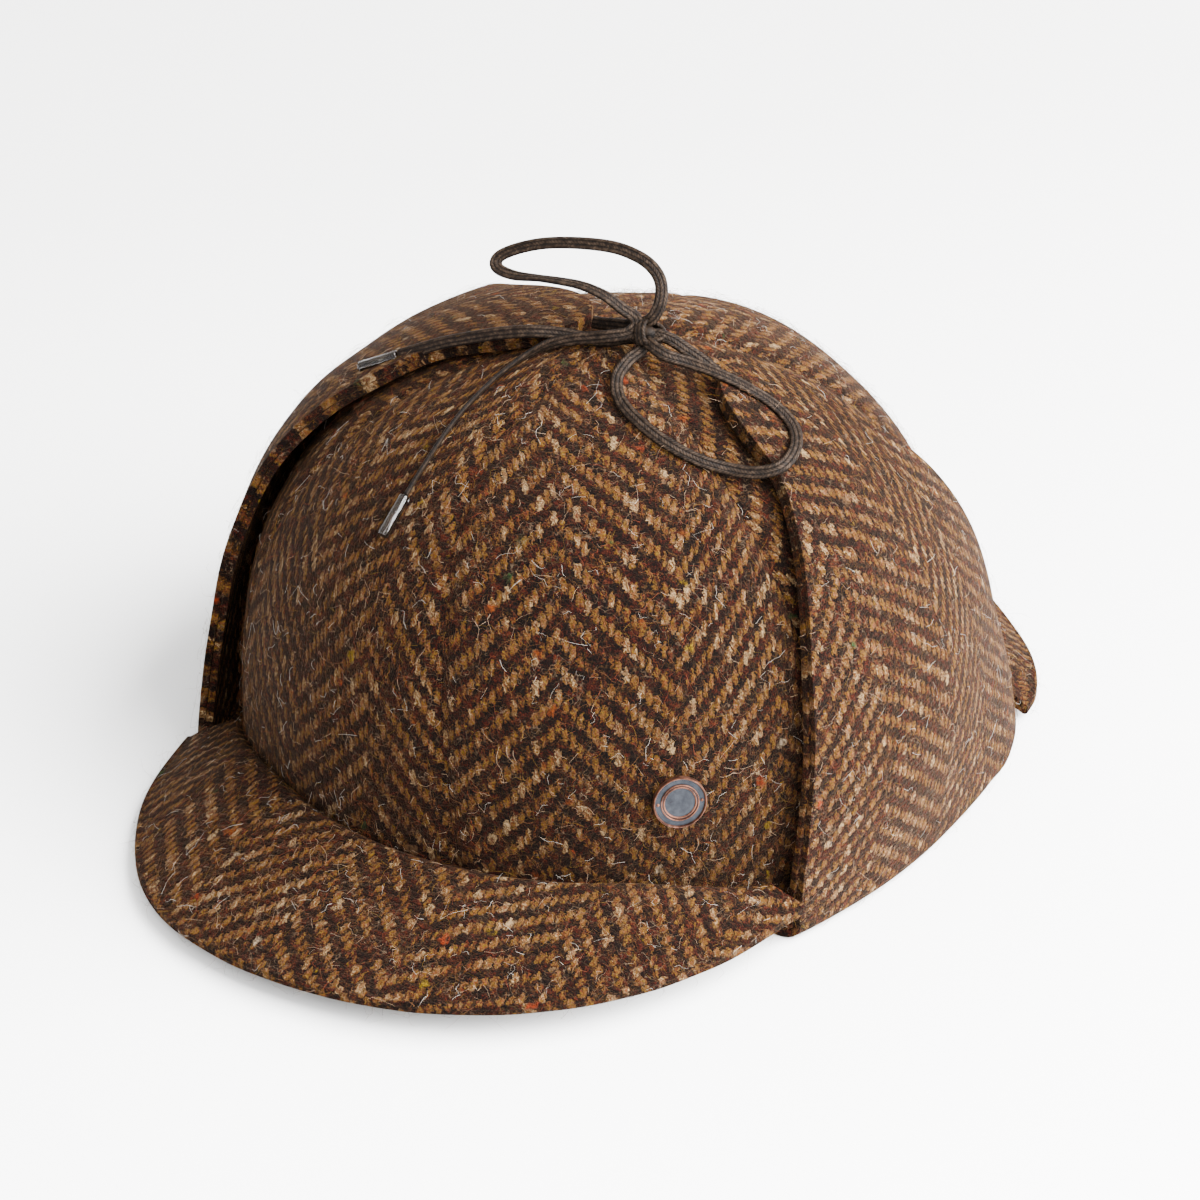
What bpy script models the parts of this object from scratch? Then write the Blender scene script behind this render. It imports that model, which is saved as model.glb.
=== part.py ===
# A herringbone tweed deerstalker: six-gore crown, front and back peaks, two ear flaps
# tied up over the top with flat waxed laces, and one small round metal badge.
# Metres, +Z up. The front faces -Y and the wearer's left is +X. The hat rests on z = 0.
import bpy
import bmesh
import math
from mathutils import Vector

GAP = 0.0004  # clearance between pieces that are sewn or laid together
WELD = 0.00002  # points closer than this are merged

# Crown: a dome whose plan is an ellipse and whose side view is squarer than round
CROWN_HALF_WIDTH = 0.0939
CROWN_HALF_DEPTH = 0.0964
CROWN_HEIGHT = 0.1212
PLAN_POWER = 1.5  # lower values make the top more pointed
SIDE_POWER = 3.2  # higher values make the walls straighter
CROWN_CLOTH = 0.003
GORES = 6
GORE_NAMES = ("front_left", "side_left", "back_left", "back_right", "side_right", "front_right")
GORE_COLUMNS = (0.0, 0.035, 0.10, 0.22, 0.36, 0.5, 0.64, 0.78, 0.90, 0.965, 1.0)
GORE_ROWS = 15
SEAM_DIP = 0.0008
SEAM_DIP_WIDTH = 0.0028
SEAM_DIP_FADES = 0.02  # the dip fades out nearer to the apex than this
APEX_TRIM = 1.2  # the gores stop short of the apex by this many gaps, over the width of a gore there

# The front seam wanders a little as it climbs: share of the rise, degrees towards the wearer's left
FRONT_SEAM = ((0.0, 7.2), (0.125, 6.5), (0.28, 3.7), (0.43, 0.3), (0.556, -3.4), (0.64, -7.1),
              (0.73, -10.6), (0.83, -5.0), (0.90, 0.0), (1.0, 0.0))
OTHER_SEAMS_TURN = 6.5

# Line where the peaks are sewn to the crown
SEAM_HEIGHT = 0.0225
SEAM_FALL = 0.008  # how much lower that line is beside the flaps
SEAM_FALL_START = 30.0
SEAM_FALL_END = 58.0
# Degrees past a flap's front edge where the crown's lower edge begins and ends its step down
RIM_STEP_START = 4.0
RIM_STEP_END = 10.0

# Peaks
PEAK_CLOTH = 0.0045
PEAK_REACH = 0.042
PEAK_EDGE_CLOTH = 0.0022
FRONT_EDGE_HEIGHT = 0.0078
FRONT_EDGE_TILT = 0.0026  # the front peak's edge lies higher on the wearer's left
PEAK_DROOP = 1.35  # 1 is a straight slope, more is a rounder one
FRONT_PEAK_TURN = -5.5
PEAK_COLUMNS = 34
PEAK_ROWS = (0.0, 0.2, 0.4, 0.6, 0.78, 0.92, 1.0)
# Share of the reach at so many degrees from the peak's middle. The back peak is fuller at its
# ends and droops lower.
FRONT_OUTLINE = ((0, 1.0), (8, 0.985), (15, 0.95), (25, 0.855), (35, 0.71), (45, 0.52), (54, 0.34),
                 (62, 0.25), (75, 0.16))
BACK_OUTLINE = ((0, 1.0), (8, 0.975), (15, 0.91), (22, 0.80), (30, 0.68), (36, 0.64), (42, 0.622),
                (47, 0.595), (50, 0.56), (53, 0.50), (75, 0.2))
BACK_EDGE_HEIGHT = 0.0028

# Ear flaps: outside of the crown, folded up, with the fold on the table
FLAP_CLOTH = 0.0038
FLAP_HALF_WIDTH = 0.0583
FOLD_REACH = 0.0048  # free space between crown and flap at the fold
FLAP_CLOSES_AT = 0.074  # height where the flap comes to lie on the crown
FLAP_REST = 0.0006
FOLD_RADIUS = 0.0042  # outside of the fold
FOLD_INSIDE = 0.0012
FLAP_COLUMNS = (-1.0, -0.9, -0.72, -0.5, -0.25, 0.0, 0.25, 0.5, 0.72, 0.9, 1.0)
# Half width of the flap, as a share, at a share of its length above the fold
FLAP_OUTLINE = ((0.0, 1.0), (0.035, 1.0), (0.16, 0.973), (0.30, 0.921), (0.436, 0.84), (0.533, 0.752),
                (0.629, 0.625), (0.70, 0.505), (0.76, 0.395), (0.81, 0.315), (0.86, 0.275), (0.90, 0.245),
                (0.94, 0.20), (0.97, 0.14), (0.99, 0.075), (1.0, 0.0))
# The fold lies close to the crown in front and stands off behind: share of FOLD_REACH that is
# added at a place between the fold's front end, -1, and its rear end, 1
FOLD_FLARE = ((-1.0, 0.0), (-0.75, -0.44), (-0.5, -0.66), (-0.2, -0.70), (0.1, -0.48), (0.43, 0.2),
              (0.55, 0.62), (0.72, 0.95), (0.86, 1.12), (1.0, 1.2))
FLARE_HEIGHT = 0.040  # height where it ends
# Swing of the tip over the top, backward lean and lift of the rear edge, for each flap
FLAPS = {
    "left": {"side": 1, "tip_swing": 74.6, "lean": 0.0, "tip_shift": 0.0, "lift": 0.0008},
    "right": {"side": -1, "tip_swing": 89.0, "lean": 0.0085, "tip_shift": -0.003, "lift": 0.0032},
}

# Badge on the wearer's left of the front
BADGE_TURN = 39.8
BADGE_HEIGHT = 0.042
BADGE_RADIUS = 0.0066
BADGE_RIM = 0.0009
BADGE_THICK = 0.0018
BADGE_FIELD = 0.0012

# Laces: flat braid, drawn here as a round tube of the same cross-section
LACE_WIDTH = 0.0032
LACE_THICK = 0.0011
LACE_TUBE = math.sqrt(4 * LACE_WIDTH * LACE_THICK / math.pi)
LACE_STEP = 0.0050
LACE_PARTS = 12  # the curve between two points of a route is first cut into so many
AGLET_LENGTH = 0.0115
AGLET_RADIUS = 0.0014
KNOT_CENTRE = (0.0140, -0.0040, 0.1248)
KNOT_SIZE = (0.0052, 0.0044, 0.0036)

# Lace routes, in millimetres, chosen by hand
LEAD_LEFT = ((31.3, -0.3, 116.5), (27.6, -1.2, 119.3), (23.7, -2.2, 121.8), (19.8, -3.3, 124.2))
LEAD_RIGHT = ((-1.6, -3.1, 123.5), (1.6, -3.5, 124.0), (5.0, -3.9, 124.8), (8.4, -4.2, 125.5))
LOOP_UP = ((15.2, -3.4, 129.0), (16.3, -1.6, 132.7), (15.4, 0.4, 136.6), (12.6, 1.8, 139.4),
           (8.0, 2.6, 141.2), (1.0, 2.9, 142.0), (-8.2, 2.4, 141.2), (-17.5, 1.4, 139.4),
           (-24.6, -0.5, 137.0), (-28.6, -2.6, 134.6), (-27.6, -4.7, 132.9), (-21.9, -6.1, 132.8),
           (-13.1, -6.6, 134.2), (-3.4, -6.7, 134.9), (3.4, -6.5, 133.6), (8.0, -5.6, 130.6),
           (10.9, -4.7, 128.6))
LOOP_DOWN = ((14.5, -8.1, 122.1), (13.2, -12.6, 120.9), (13.3, -18.4, 118.9), (16.8, -23.4, 116.1),
             (24.0, -26.7, 113.3), (32.1, -27.7, 110.1), (40.0, -26.2, 106.9), (46.7, -23.3, 104.8),
             (53.0, -21.3, 104.6), (57.8, -17.7, 105.9), (57.7, -10.1, 107.2), (54.2, -4.2, 109.2),
             (48.0, -1.8, 112.2), (41.0, -2.8, 115.8), (34.1, -4.6, 118.7), (26.5, -6.0, 120.6),
             (21.5, -8.3, 122.4), (17.8, -8.1, 123.7))
TAIL_UP = ((9.0, -5.1, 122.6), (4.8, -7.0, 121.8), (0.3, -8.4, 121.7), (-6.2, -11.6, 123.1),
           (-12.8, -15.0, 123.6), (-20.4, -16.5, 121.9), (-28.5, -17.5, 119.1), (-36.6, -18.4, 115.9),
           (-48.1, -19.2, 110.1))
TAIL_DOWN = ((10.4, -8.2, 125.5), (6.5, -10.2, 124.8), (2.8, -11.0, 123.9), (-2.4, -12.6, 122.9),
             (-7.9, -15.2, 121.2), (-12.2, -18.9, 118.7), (-15.6, -25.2, 115.9), (-17.8, -31.3, 113.2),
             (-19.5, -38.4, 110.1), (-20.7, -46.2, 106.1), (-21.8, -53.0, 101.6), (-22.7, -59.6, 97.2))
# The two ends, each with the way its aglet points
AGLET_AIM = {"left": (-0.87, -0.16, -0.43), "right": (-0.07, -0.83, -0.55)}

MATERIALS = {
    "crown_tweed": ((0.115, 0.058, 0.032), 0.95, 0.0),
    "flap_tweed": ((0.130, 0.068, 0.036), 0.95, 0.0),
    "peak_tweed": ((0.122, 0.062, 0.034), 0.95, 0.0),
    "waxed_lace": ((0.040, 0.028, 0.020), 0.50, 0.0),
    "clear_plastic": ((0.60, 0.58, 0.56), 0.20, 0.0),
    "copper_badge": ((0.33, 0.20, 0.14), 0.38, 0.9),
}

for item in list(bpy.data.objects):
    bpy.data.objects.remove(item, do_unlink=True)

hat = bpy.data.collections.new("deerstalker_hat")
bpy.context.scene.collection.children.link(hat)


def material(name):
    """The named material, made on first use."""
    if name not in bpy.data.materials:
        colour, roughness, metallic = MATERIALS[name]
        made = bpy.data.materials.new(name)
        made.use_nodes = True
        shader = made.node_tree.nodes["Principled BSDF"]
        shader.inputs["Base Color"].default_value = (*colour, 1)
        shader.inputs["Roughness"].default_value = roughness
        shader.inputs["Metallic"].default_value = metallic
        made.diffuse_color = (*colour, 1)
    return bpy.data.materials[name]


def ease(share):
    """Smooth step from 0 to 1."""
    share = min(max(share, 0.0), 1.0)
    return share * share * (3 - 2 * share)


def look_up(table, place):
    """Value at `place` on a smooth curve through a table's rows."""
    rows = [table[0], *table, table[-1]]
    if place <= table[0][0]:
        return table[0][1]
    for before, start, end, after in zip(rows, rows[1:], rows[2:], rows[3:]):
        if start[0] <= place <= end[0] and end[0] > start[0]:
            span = end[0] - start[0]
            share = (place - start[0]) / span
            slope_in = (end[1] - before[1]) / (end[0] - before[0]) * span
            slope_out = (after[1] - start[1]) / (after[0] - start[0]) * span
            square, cube = share ** 2, share ** 3
            return ((2 * cube - 3 * square + 1) * start[1] + (cube - 2 * square + share) * slope_in
                    + (3 * square - 2 * cube) * end[1] + (cube - square) * slope_out)
    return table[-1][1]


def crown_profile(samples=900):
    """Rows of (length up the crown, share of the radius, height) from the table to the apex."""
    mean_radius = (CROWN_HALF_WIDTH + CROWN_HALF_DEPTH) / 2
    rows = [(0.0, 1.0, 0.0)]
    for step in range(1, samples + 1):
        angle = math.pi / 2 * step / samples
        radius = max(math.cos(angle), 0.0) ** (2 / PLAN_POWER)
        height = CROWN_HEIGHT * math.sin(angle) ** (2 / SIDE_POWER)
        length = rows[-1][0] + math.hypot((radius - rows[-1][1]) * mean_radius, height - rows[-1][2])
        rows.append((length, radius, height))
    return rows


PROFILE = crown_profile()
RISE_LENGTH = PROFILE[-1][0]
RISE = [(length / RISE_LENGTH, radius, height) for length, radius, height in PROFILE]


def between(rows, column, value, wanted):
    """Linear reading of column `wanted` where column `column` reaches `value`."""
    for low, high in zip(rows, rows[1:]):
        if high[column] >= value:
            share = (value - low[column]) / (high[column] - low[column])
            return low[wanted] + (high[wanted] - low[wanted]) * share
    return rows[-1][wanted]


def rise_at(height):
    """Share of the way up the crown at a height above the table."""
    return between(RISE, 2, height, 0)


def crown_point(turn, rise):
    """Point of the crown's outside, `turn` radians from the front towards the wearer's left."""
    radius = between(RISE, 0, rise, 1)
    return Vector((CROWN_HALF_WIDTH * radius * math.sin(turn),
                   -CROWN_HALF_DEPTH * radius * math.cos(turn),
                   between(RISE, 0, rise, 2)))


def crown_normal(point):
    """Outward direction of the crown's surface at a point of it."""
    share = max(math.hypot(point.x / CROWN_HALF_WIDTH, point.y / CROWN_HALF_DEPTH), 1e-6)
    pull = PLAN_POWER * share ** (PLAN_POWER - 2)
    climb = SIDE_POWER * (max(point.z, 0.0) / CROWN_HEIGHT) ** (SIDE_POWER - 1) / CROWN_HEIGHT
    return Vector((pull * point.x / CROWN_HALF_WIDTH ** 2, pull * point.y / CROWN_HALF_DEPTH ** 2,
                   climb)).normalized()


def side_point(side, swing, along, out):
    """Point `out` outside the crown, where a line that leaves the hat's long axis meets it.

    `swing` is the line's angle above the table, and `along` is its place on the long axis.
    """
    width, depth, height = (size + out for size in (CROWN_HALF_WIDTH, CROWN_HALF_DEPTH, CROWN_HEIGHT))
    near, far = 0.0, 2 * max(width, height)
    for _ in range(44):
        reach = (near + far) / 2
        plan = math.hypot(reach * math.cos(swing) / width, along / depth)
        if plan ** PLAN_POWER + (reach * math.sin(swing) / height) ** SIDE_POWER < 1:
            near = reach
        else:
            far = reach
    return Vector((side * near * math.cos(swing), along, near * math.sin(swing)))


def add_object(name, mesh, finish, smooth=40.0):
    """Object of a mesh in the hat's collection, with its material and smooth shading."""
    item = bpy.data.objects.new(name, mesh)
    mesh.materials.append(material(finish))
    mesh.shade_smooth()
    mesh.set_sharp_from_angle(angle=math.radians(smooth))
    hat.objects.link(item)
    return item


def sheet(name, across, upward, face, back, finish):
    """Closed piece of cloth: a grid laid on `face`, extruded to `back`.

    `across` and `upward` are the shares at which the grid has its lines.
    """
    shell = bmesh.new()
    bmesh.ops.create_grid(shell, x_segments=len(across) - 1, y_segments=len(upward) - 1, size=0.5)
    place = {}
    for vert in shell.verts:
        column = round((vert.co.x + 0.5) * (len(across) - 1))
        row = round((vert.co.y + 0.5) * (len(upward) - 1))
        place[vert] = (across[column], upward[row])
    grown = bmesh.ops.extrude_face_region(shell, geom=shell.faces[:])["geom"]
    grown = [item for item in grown if isinstance(item, bmesh.types.BMVert)]
    twins = {tuple(round(number, 5) for number in vert.co): shares for vert, shares in place.items()}
    for vert in grown:
        place[vert] = twins[tuple(round(number, 5) for number in vert.co)]
    raised = set(grown)
    for vert, shares in place.items():
        vert.co = back(*shares) if vert in raised else face(*shares)
    bmesh.ops.remove_doubles(shell, verts=shell.verts[:], dist=WELD)
    bmesh.ops.dissolve_degenerate(shell, edges=shell.edges[:], dist=WELD / 2)
    bmesh.ops.recalc_face_normals(shell, faces=shell.faces[:])
    mesh = bpy.data.meshes.new(name)
    shell.to_mesh(mesh)
    shell.free()
    return add_object(name, mesh, finish)


def off_middle(turn):
    """Degrees between a direction and the nearer of front and back."""
    degrees = abs(math.degrees(math.atan2(math.sin(turn), math.cos(turn))))
    return min(degrees, 180 - degrees)


def seam_height(turn):
    """Height of the line where a peak's top meets the crown."""
    share = (off_middle(turn) - SEAM_FALL_START) / (SEAM_FALL_END - SEAM_FALL_START)
    return SEAM_HEIGHT - SEAM_FALL * ease(share)


FLAP_FRONT_TURN = math.degrees(math.asin(FLAP_HALF_WIDTH
                                         / (CROWN_HALF_DEPTH + FOLD_REACH + FLAP_CLOTH)))


def rim_height(turn):
    """Lower edge of the crown: level with the peaks' undersides, and on the folds of the flaps."""
    over_peak = seam_height(turn) - PEAK_CLOTH
    over_fold = FLAP_CLOTH + GAP
    share = (off_middle(turn) - FLAP_FRONT_TURN - RIM_STEP_START) / (RIM_STEP_END - RIM_STEP_START)
    return over_peak + (over_fold - over_peak) * ease(share)


def seam_turn(number, rise):
    """Direction of a crown seam at a share of the rise."""
    if number % GORES == 0:
        return math.radians(360 * (number // GORES) + look_up(FRONT_SEAM, rise))
    return math.radians(360 * number / GORES + OTHER_SEAMS_TURN * (1 - rise))


def add_gore(number, name):
    """One crown panel, from its lower edge to its point at the apex."""
    top = 1 - APEX_TRIM * GAP / (RISE_LENGTH * math.sin(math.pi / GORES))

    def place(across, up):
        guess = (seam_turn(number, up) + seam_turn(number + 1, up)) / 2
        for _ in range(3):
            rise = rise_at(rim_height(guess))
            rise += (top - rise) * up
            radius = max(between(RISE, 0, rise, 1) * CROWN_HALF_WIDTH, GAP)
            trim = math.asin(min(GAP / 2 / radius, math.sin(math.pi / GORES)))
            start, end = seam_turn(number, rise) + trim, seam_turn(number + 1, rise) - trim
            guess = start + (end - start) * across
        from_seam = min(across, 1 - across) * (end - start) * radius
        dip = SEAM_DIP * math.exp(-(from_seam / SEAM_DIP_WIDTH) ** 2) * ease(radius / SEAM_DIP_FADES)
        point = crown_point(guess, rise)
        return point, crown_normal(point), dip

    def face(across, up):
        point, normal, dip = place(across, up)
        return point - normal * dip

    def back(across, up):
        point, normal, dip = place(across, up)
        return point - normal * CROWN_CLOTH

    rows = [row / GORE_ROWS for row in range(GORE_ROWS + 1)]
    sheet(f"crown_{name}", GORE_COLUMNS, rows, face, back, "crown_tweed")


for index, gore in enumerate(GORE_NAMES):
    add_gore(index, gore)


def add_peak(name, facing, outline, middle, edge_height, tilt):
    """Crescent peak, sewn edge against the crown, facing `facing` degrees from the front.

    `middle` is where its outline is widest, and `tilt` raises one end of its edge and lowers the other.
    """
    end_along = FLAP_HALF_WIDTH + GAP
    half_turn = math.acos(end_along / (CROWN_HALF_DEPTH + GAP))
    turned = math.radians(facing)

    def top(across, out):
        turn = half_turn * (2 * across - 1)
        root = crown_point(turn, rise_at(seam_height(turn)))
        root += crown_normal(root) * GAP
        aim = turn + (math.pi / 2 - half_turn) * (turn / half_turn) ** 3
        direction = Vector((math.sin(aim), -math.cos(aim), 0))
        reach = PEAK_REACH * look_up(outline, abs(math.degrees(turn) - middle))
        edge = edge_height + tilt * turn / half_turn + PEAK_EDGE_CLOTH / 2
        point = root + direction * reach * out
        point.z = seam_height(turn) + (edge - seam_height(turn)) * out ** PEAK_DROOP
        return point

    def cloth(out):
        thinned = ease((out - PEAK_ROWS[-3]) / (1 - PEAK_ROWS[-3]))
        return PEAK_CLOTH + (PEAK_EDGE_CLOTH - PEAK_CLOTH) * thinned

    def turned_round(point):
        return Vector((point.x * math.cos(turned) - point.y * math.sin(turned),
                       point.x * math.sin(turned) + point.y * math.cos(turned), point.z))

    def face(across, out):
        return turned_round(top(across, out))

    def back(across, out):
        return turned_round(top(across, out) - Vector((0, 0, cloth(out))))

    columns = [column / PEAK_COLUMNS for column in range(PEAK_COLUMNS + 1)]
    sheet(name, columns, PEAK_ROWS, face, back, "peak_tweed")


add_peak("front_peak", 0, FRONT_OUTLINE, FRONT_PEAK_TURN, FRONT_EDGE_HEIGHT, FRONT_EDGE_TILT)
add_peak("back_peak", 180, BACK_OUTLINE, 0.0, BACK_EDGE_HEIGHT, 0.0)


def stand_off(height):
    """Free space between the crown and a flap's inside at a height above the table."""
    return FOLD_REACH + (FLAP_REST - FOLD_REACH) * ease(height / FLAP_CLOSES_AT)


def fold_rows(reach):
    """Outer and inner points of the fold, each as (distance outside the crown, height).

    `reach` is the free space between the crown and the fold.
    """
    rows = [((-CROWN_CLOTH, 0.0), (-CROWN_CLOTH, FLAP_CLOTH)), ((0.0, 0.0), (0.0, FLAP_CLOTH))]
    for angle in (0, 45, 90):
        step, climb = 1 - math.sin(math.radians(angle)), 1 - math.cos(math.radians(angle))
        rows.append(((reach + FLAP_CLOTH - FOLD_RADIUS * step, FOLD_RADIUS * climb),
                     (reach - FOLD_INSIDE * step, FLAP_CLOTH + FOLD_INSIDE * climb)))
    return rows


def add_flap(name, side, tip_swing, lean, tip_shift, lift):
    """Ear flap: its fold on the table, then up outside the crown to its rounded tip."""
    start_swing = math.atan2(FOLD_RADIUS, CROWN_HALF_WIDTH)
    end_swing = math.radians(tip_swing)
    # The rows after the fold, as shares of the flap's length
    climb = [0.05, 0.12, 0.2, 0.28, 0.36, 0.436, 0.51, 0.58, 0.65, 0.71, 0.76, 0.81, 0.86, 0.90,
             0.94, 0.97, 0.99, 1.0]
    folds = len(fold_rows(FOLD_REACH))
    rows = [row - folds for row in range(folds)] + climb

    def along(across, share):
        share = max(share, 0.0)
        middle = lean * math.sin(math.pi * share) ** 3 + tip_shift * share ** 4
        return middle + across * FLAP_HALF_WIDTH * look_up(FLAP_OUTLINE, share)

    def place(across, share, outer):
        extra = FOLD_REACH * look_up(FOLD_FLARE, across)
        if share < 0:
            out, height = fold_rows(FOLD_REACH + extra)[int(share) + folds][0 if outer else 1]
            point = side_point(side, 0.0, along(across, 0.0), out)
            point.z = height
            return point
        swing = start_swing + (end_swing - start_swing) * share
        inside = side_point(side, swing, along(across, share), FLAP_REST)
        space = stand_off(inside.z) + extra * (1 - ease(inside.z / FLARE_HEIGHT))
        space += lift * ease(across) * math.sin(math.pi * share ** 3)
        return side_point(side, swing, along(across, share), space + (FLAP_CLOTH if outer else 0.0))

    sheet(name, FLAP_COLUMNS, rows, lambda across, share: place(across, share, True),
          lambda across, share: place(across, share, False), "flap_tweed")


for hand, shape in FLAPS.items():
    add_flap(f"ear_flap_{hand}", **shape)


def add_badge():
    """Round badge with a raised rim, turned about its axis and set on the crown."""
    rim_top, rim_inside = BADGE_THICK, BADGE_RADIUS - BADGE_RIM
    profile = ((0.0, BADGE_FIELD), (rim_inside, BADGE_FIELD), (rim_inside, rim_top),
               (BADGE_RADIUS, rim_top), (BADGE_RADIUS, 0.0), (0.0, 0.0))
    mesh = bpy.data.meshes.new("badge")
    mesh.from_pydata([(radius, 0, height) for radius, height in profile],
                     [(index, index + 1) for index in range(len(profile) - 1)], [])
    badge = add_object("badge", mesh, "copper_badge")
    turn = badge.modifiers.new("turn", "SCREW")
    turn.steps = turn.render_steps = 32
    turn.use_merge_vertices = True
    turn.merge_threshold = WELD / 2
    seat = crown_point(math.radians(BADGE_TURN), rise_at(BADGE_HEIGHT))
    normal = crown_normal(seat)
    badge.location = seat + normal * GAP
    badge.rotation_mode = "QUATERNION"
    badge.rotation_quaternion = normal.to_track_quat("Z", "Y")


add_badge()


def smooth_route(points, step):
    """Points `step` apart on a smooth curve through the route's own points."""
    ends = [points[0] * 2 - points[1], *points, points[-1] * 2 - points[-2]]
    fine = []
    for before, start, end, after in zip(ends, ends[1:], ends[2:], ends[3:]):
        for part in range(LACE_PARTS):
            share = part / LACE_PARTS
            fine.append(0.5 * (2 * start + (end - before) * share
                               + (2 * before - 5 * start + 4 * end - after) * share ** 2
                               + (3 * start - before - 3 * end + after) * share ** 3))
    fine.append(points[-1])
    lengths = [0.0]
    for low, high in zip(fine, fine[1:]):
        lengths.append(lengths[-1] + (high - low).length)
    count = max(2, round(lengths[-1] / step))
    route, index = [], 0
    for number in range(count + 1):
        wanted = lengths[-1] * number / count
        while index < len(fine) - 2 and lengths[index + 1] < wanted:
            index += 1
        share = (wanted - lengths[index]) / (lengths[index + 1] - lengths[index])
        route.append(fine[index].lerp(fine[index + 1], share))
    return route


def add_lace(name, points):
    """Stretch of lace along a route given in millimetres. Returns its last point."""
    route = smooth_route([Vector(point) / 1000 for point in points], LACE_STEP)
    curve = bpy.data.curves.new(name, "CURVE")
    curve.dimensions = "3D"
    curve.bevel_depth = LACE_TUBE / 2
    curve.bevel_resolution = 2
    curve.use_fill_caps = True
    line = curve.splines.new("POLY")
    line.points.add(len(route) - 1)
    for point, place in zip(line.points, route):
        point.co = (*place, 1)
    curve.materials.append(material("waxed_lace"))
    lace = bpy.data.objects.new(name, curve)
    hat.objects.link(lace)
    return route[-1]


def add_aglet(name, start, aim):
    """Clear tube that wraps a lace's end, GAP beyond the lace's tube."""
    direction = Vector(aim).normalized()
    shell = bmesh.new()
    bmesh.ops.create_cone(shell, cap_ends=True, segments=14, radius1=AGLET_RADIUS, radius2=AGLET_RADIUS,
                          depth=AGLET_LENGTH)
    mesh = bpy.data.meshes.new(name)
    shell.to_mesh(mesh)
    shell.free()
    aglet = add_object(name, mesh, "clear_plastic")
    aglet.location = start + direction * (GAP + AGLET_LENGTH / 2)
    aglet.rotation_mode = "QUATERNION"
    aglet.rotation_quaternion = direction.to_track_quat("Z", "Y")


def add_knot():
    """The bow's knot, a small rounded lump."""
    shell = bmesh.new()
    bmesh.ops.create_uvsphere(shell, u_segments=14, v_segments=8, radius=1)
    bmesh.ops.scale(shell, vec=KNOT_SIZE, verts=shell.verts[:])
    mesh = bpy.data.meshes.new("bow_knot")
    shell.to_mesh(mesh)
    shell.free()
    knot = add_object("bow_knot", mesh, "waxed_lace", 80)
    knot.location = KNOT_CENTRE


add_knot()
add_lace("lace_lead_left", LEAD_LEFT)
add_lace("lace_lead_right", LEAD_RIGHT)
add_lace("lace_loop_up", LOOP_UP)
add_lace("lace_loop_down", LOOP_DOWN)
add_aglet("aglet_left", add_lace("lace_tail_left", TAIL_UP), AGLET_AIM["left"])
add_aglet("aglet_right", add_lace("lace_tail_right", TAIL_DOWN), AGLET_AIM["right"])
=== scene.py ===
import math

import bpy
import numpy as np
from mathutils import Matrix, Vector


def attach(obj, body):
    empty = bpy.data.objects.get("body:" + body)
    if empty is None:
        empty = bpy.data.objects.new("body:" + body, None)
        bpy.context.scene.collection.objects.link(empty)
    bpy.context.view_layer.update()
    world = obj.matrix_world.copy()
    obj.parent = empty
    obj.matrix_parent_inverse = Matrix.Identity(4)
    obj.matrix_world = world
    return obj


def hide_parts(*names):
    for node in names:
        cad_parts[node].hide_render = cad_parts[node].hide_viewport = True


# A herringbone tweed deerstalker on a pale floor. Metres, front towards -Y, wearer's left +X.
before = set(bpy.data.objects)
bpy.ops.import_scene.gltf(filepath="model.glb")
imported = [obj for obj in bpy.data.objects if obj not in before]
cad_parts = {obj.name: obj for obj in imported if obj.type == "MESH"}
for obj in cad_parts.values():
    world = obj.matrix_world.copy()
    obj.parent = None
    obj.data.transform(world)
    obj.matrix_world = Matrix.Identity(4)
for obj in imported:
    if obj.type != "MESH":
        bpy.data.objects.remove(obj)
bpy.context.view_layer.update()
print("Packed model loaded")

cameraView = {"place": (0.40468, -0.75778, 0.57118), "target": (0.00543, -0.01255, 0.050), "lens": 117.15}

bpy.ops.object.select_all(action="DESELECT")
bpy.ops.object.camera_add(location=cameraView["place"])
camera = bpy.context.object
camera.name = "photoCamera"
aim = Vector(cameraView["target"]) - Vector(cameraView["place"])
camera.rotation_euler = aim.to_track_quat("-Z", "Y").to_euler()
camera.data.lens = cameraView["lens"]
camera.data.sensor_width = 36
camera.data.clip_end = 20
bpy.context.scene.camera = camera
print("Camera placed")


def pick(*items):
    bpy.ops.object.select_all(action="DESELECT")
    for item in items:
        item.select_set(True)
    bpy.context.view_layer.objects.active = items[0]


def applyModifiers(item):
    pick(item)
    for modifier in list(item.modifiers):
        bpy.ops.object.modifier_apply(modifier=modifier.name)


def applyPlace(item):
    pick(item)
    bpy.ops.object.transform_apply(location=True, rotation=True, scale=True)


def faceOutward(item):
    pick(item)
    bpy.ops.object.mode_set(mode="EDIT")
    bpy.ops.mesh.select_all(action="SELECT")
    bpy.ops.mesh.normals_make_consistent(inside=False)
    bpy.ops.object.mode_set(mode="OBJECT")


def addMesh(name, verts, edges, faces):
    mesh = bpy.data.meshes.new(name)
    mesh.from_pydata(verts, edges, faces)
    item = bpy.data.objects.new(name, mesh)
    bpy.context.scene.collection.objects.link(item)
    return item


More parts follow.
